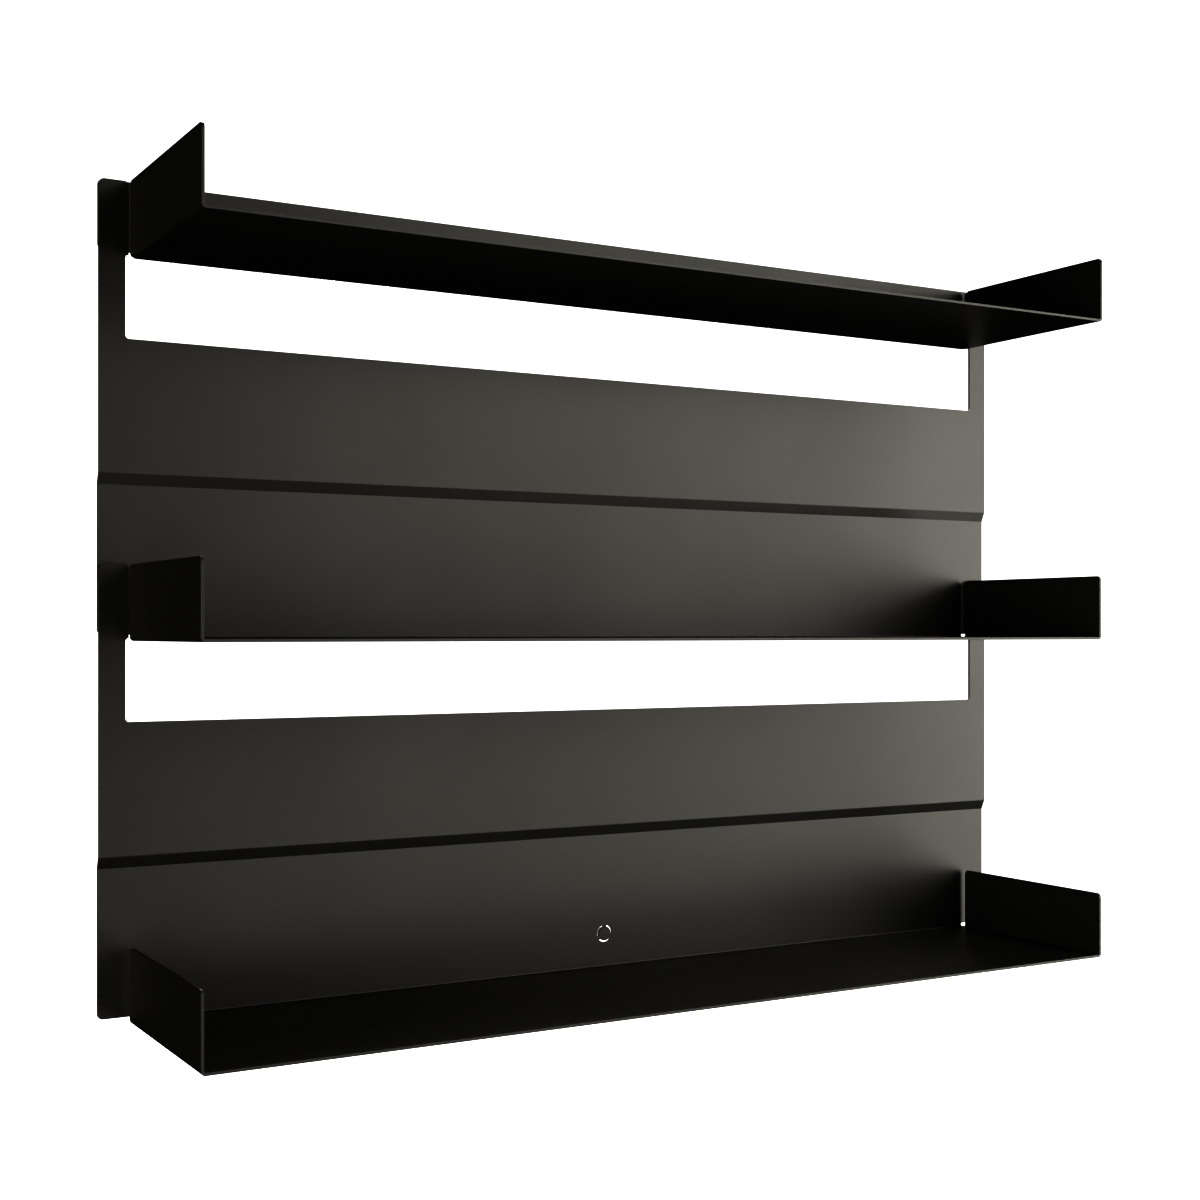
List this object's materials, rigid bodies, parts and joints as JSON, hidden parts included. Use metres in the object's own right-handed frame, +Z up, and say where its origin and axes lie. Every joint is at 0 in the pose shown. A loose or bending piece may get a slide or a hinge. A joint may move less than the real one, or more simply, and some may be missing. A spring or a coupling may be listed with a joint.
{
  "type": "wall mounted display shelf",
  "caption": "Open wall display shelf of folded black sheet steel: trays with upturned sides, one above the other, on stepped back plates with windows under the upper trays.",
  "frame": {"origin": "middle of the upper wall rail's rear face, on the wall plane", "axes": "+Z up, +X along the shelf to the right as seen from the front, the shelf faces -Y and the wall is the plane Y = 0"},
  "size_m": [0.8, 0.1936, 0.5768],
  "materials": {
    "powder_coat": "black satin powder coat with a fine orange peel",
    "rail_zinc": "zinc plated sheet",
    "screw_zinc": "bright zinc plated",
    "stud_steel": "turned steel",
    "grey_nylon": "moulded nylon, matt",
    "foam_pad": "closed-cell foam, matt"
  },
  "bodies": {
    "root": {"bottom_pad_left": "foam_pad", "bottom_pad_right": "foam_pad", "bottom_tray_panel": "powder_coat", "foot_pad_left": "foam_pad", "foot_pad_right": "foam_pad", "lock_left_plug": "grey_nylon", "lock_left_screw": "screw_zinc", "lock_left_spacer": "grey_nylon", "lock_right_plug": "grey_nylon", "lock_right_screw": "screw_zinc", "lock_right_spacer": "grey_nylon", "lower_rail_far_left_plug": "grey_nylon", "lower_rail_far_left_screw": "screw_zinc", "lower_rail_far_right_plug": "grey_nylon", "lower_rail_far_right_screw": "screw_zinc", "lower_rail_left_plug": "grey_nylon", "lower_rail_left_screw": "screw_zinc", "lower_rail_right_plug": "grey_nylon", "lower_rail_right_screw": "screw_zinc", "lower_stud_centre": "stud_steel", "lower_stud_left": "stud_steel", "lower_stud_right": "stud_steel", "lower_wall_rail": "rail_zinc", "middle_pad_left": "foam_pad", "middle_pad_right": "foam_pad", "middle_tray_panel": "powder_coat", "top_left_lower_plug": "grey_nylon", "top_left_lower_screw": "screw_zinc", "top_left_lower_spacer": "grey_nylon", "top_left_upper_plug": "grey_nylon", "top_left_upper_screw": "screw_zinc", "top_left_upper_spacer": "grey_nylon", "top_right_lower_plug": "grey_nylon", "top_right_lower_screw": "screw_zinc", "top_right_lower_spacer": "grey_nylon", "top_right_upper_plug": "grey_nylon", "top_right_upper_screw": "screw_zinc", "top_right_upper_spacer": "grey_nylon", "top_tray_panel": "powder_coat", "upper_rail_far_left_plug": "grey_nylon", "upper_rail_far_left_screw": "screw_zinc", "upper_rail_far_right_plug": "grey_nylon", "upper_rail_far_right_screw": "screw_zinc", "upper_rail_left_plug": "grey_nylon", "upper_rail_left_screw": "screw_zinc", "upper_rail_right_plug": "grey_nylon", "upper_rail_right_screw": "screw_zinc", "upper_stud_centre": "stud_steel", "upper_stud_left": "stud_steel", "upper_stud_right": "stud_steel", "upper_wall_rail": "rail_zinc"}
  },
  "joints": []
}
